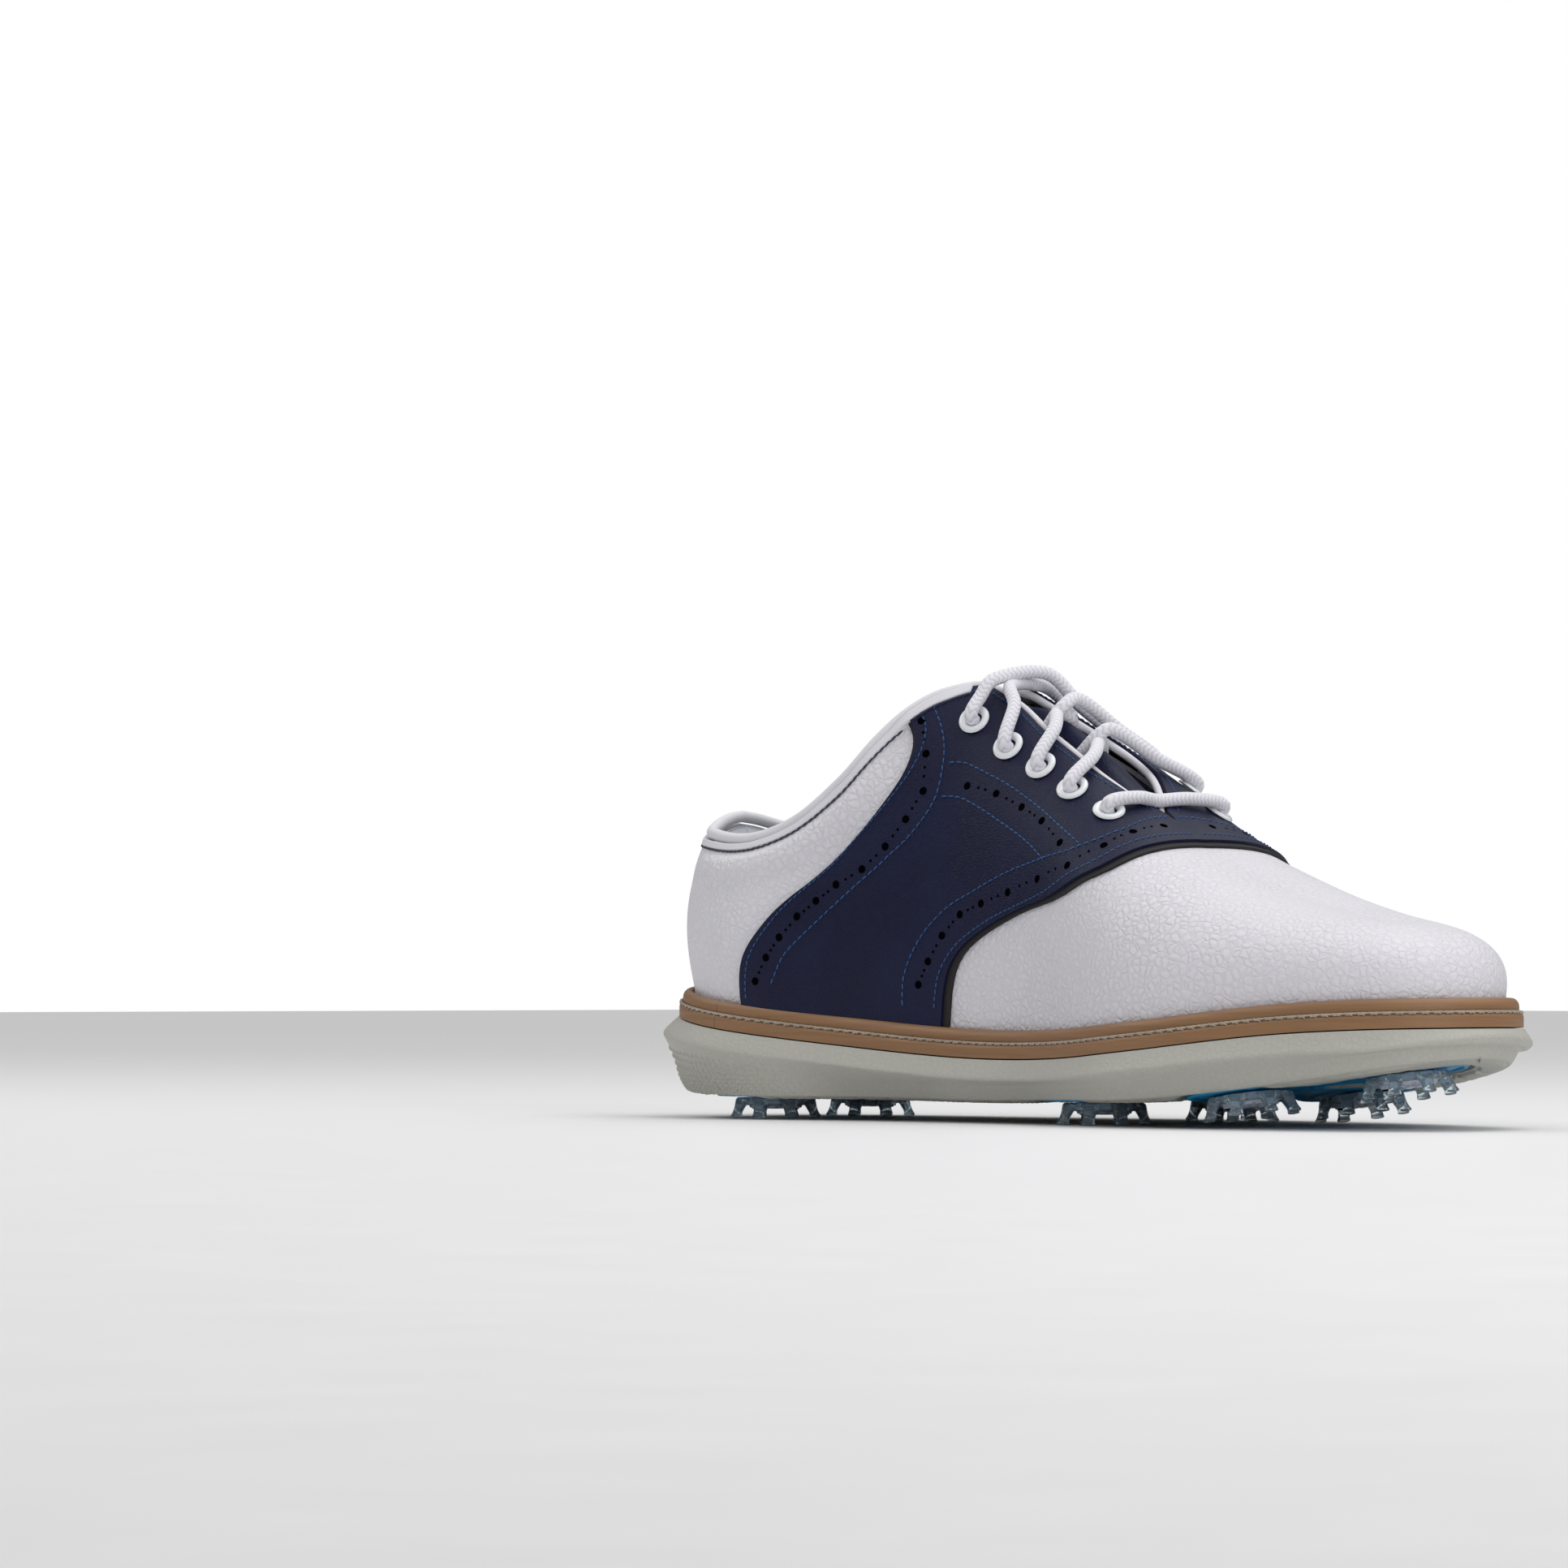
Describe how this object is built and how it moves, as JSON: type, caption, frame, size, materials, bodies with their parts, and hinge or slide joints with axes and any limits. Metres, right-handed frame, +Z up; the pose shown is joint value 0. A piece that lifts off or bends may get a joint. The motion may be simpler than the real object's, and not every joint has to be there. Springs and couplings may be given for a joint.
{
  "type": "spiked golf shoe",
  "caption": "Left saddle golf shoe with a laced leather upper, a stitched welt, a flared cushioned sole and turn-to-release soft cleats.",
  "frame": {"origin": "middle of the overall box in plan, on the plane of the cleat feet", "axes": "+X from heel to toe, +Y to the outer side of the foot, +Z up"},
  "size_m": [0.3, 0.1118, 0.1267],
  "materials": {
    "white_leather": "soft tumbled grain, satin",
    "navy_leather": "fine smooth grain, satin",
    "binding": "smooth folded edge binding",
    "reinforcement": "woven backing",
    "lining": "soft brushed lining",
    "foam": "open cell foam",
    "stiffener": "pressed fibre board",
    "filler": "cork and latex filler",
    "eyelet": "glossy white enamel",
    "lace": "tight round braid",
    "sockliner": "textile over foam",
    "shank": "spring steel strip",
    "welt": "caramel brown, satin",
    "thread": "waxed thread",
    "midsole": "bone foam with a moulded leather grain",
    "outsole": "bone moulded tread",
    "pod": "bright blue, finely textured",
    "badge": "white moulded plate",
    "receptacle": "nylon insert",
    "hub": "white moulded hub",
    "claw": "clear soft plastic"
  },
  "bodies": {
    "shoe": {"vamp": "white_leather", "quarter_medial": "white_leather", "quarter_lateral": "white_leather", "backstay": "white_leather", "saddle": "navy_leather", "tongue": "navy_leather", "tongue_binding": "binding", "collar_binding": "binding", "eyestay_binding": "binding", "saddle_backing": "reinforcement", "lining_vamp": "lining", "lining_quarter": "lining", "collar_foam": "foam", "toe_puff": "stiffener", "heel_counter": "stiffener", "insole_board": "stiffener", "bottom_filler": "filler", "eyelets_medial": "eyelet", "eyelets_lateral": "eyelet", "shoelace": "lace", "sockliner": "sockliner", "shank": "shank", "welt": "welt", "welt_bead": "welt", "welt_stitching": "thread", "midsole": "midsole", "outsole": "outsole", "pod_toe": "pod", "pod_ball": "pod", "pod_heel": "pod", "badge_inlay": "pod", "badge_base": "badge", "receptacles_toe": "receptacle", "receptacles_ball": "receptacle", "receptacles_heel": "receptacle"},
    "cleat_toe": {"hub_toe": "hub", "claw_toe": "claw"},
    "cleat_front_medial": {"hub_front_medial": "hub", "claw_front_medial": "claw"},
    "cleat_front_lateral": {"hub_front_lateral": "hub", "claw_front_lateral": "claw"},
    "cleat_ball_medial": {"hub_ball_medial": "hub", "claw_ball_medial": "claw"},
    "cleat_ball_lateral": {"hub_ball_lateral": "hub", "claw_ball_lateral": "claw"},
    "cleat_heel_medial": {"hub_heel_medial": "hub", "claw_heel_medial": "claw"},
    "cleat_heel_lateral": {"hub_heel_lateral": "hub", "claw_heel_lateral": "claw"}
  },
  "joints": [
    {"name": "turn_toe", "type": "hinge", "parent": "shoe", "child": "cleat_toe", "pos_m": [0.11763, -0.00595, 0.0082], "axis": [-0.1478, 0, 0.989], "range_deg": [0, 60]},
    {"name": "turn_front_medial", "type": "hinge", "parent": "shoe", "child": "cleat_front_medial", "pos_m": [0.08247, -0.02856, 0.00294], "axis": [-0.1478, 0, 0.989], "range_deg": [0, 60]},
    {"name": "turn_front_lateral", "type": "hinge", "parent": "shoe", "child": "cleat_front_lateral", "pos_m": [0.07757, 0.02142, 0.00221], "axis": [-0.1478, 0, 0.989], "range_deg": [0, 60]},
    {"name": "turn_ball_medial", "type": "hinge", "parent": "shoe", "child": "cleat_ball_medial", "pos_m": [0.02295, -0.02261, 0], "axis": [0, 0, 1], "range_deg": [0, 60]},
    {"name": "turn_ball_lateral", "type": "hinge", "parent": "shoe", "child": "cleat_ball_lateral", "pos_m": [0.021, 0.03094, 0], "axis": [0, 0, 1], "range_deg": [0, 60]},
    {"name": "turn_heel_medial", "type": "hinge", "parent": "shoe", "child": "cleat_heel_medial", "pos_m": [-0.102, -0.02678, 0], "axis": [0, 0, 1], "range_deg": [0, 60]},
    {"name": "turn_heel_lateral", "type": "hinge", "parent": "shoe", "child": "cleat_heel_lateral", "pos_m": [-0.1065, 0.01547, 0], "axis": [0, 0, 1], "range_deg": [0, 60]}
  ]
}
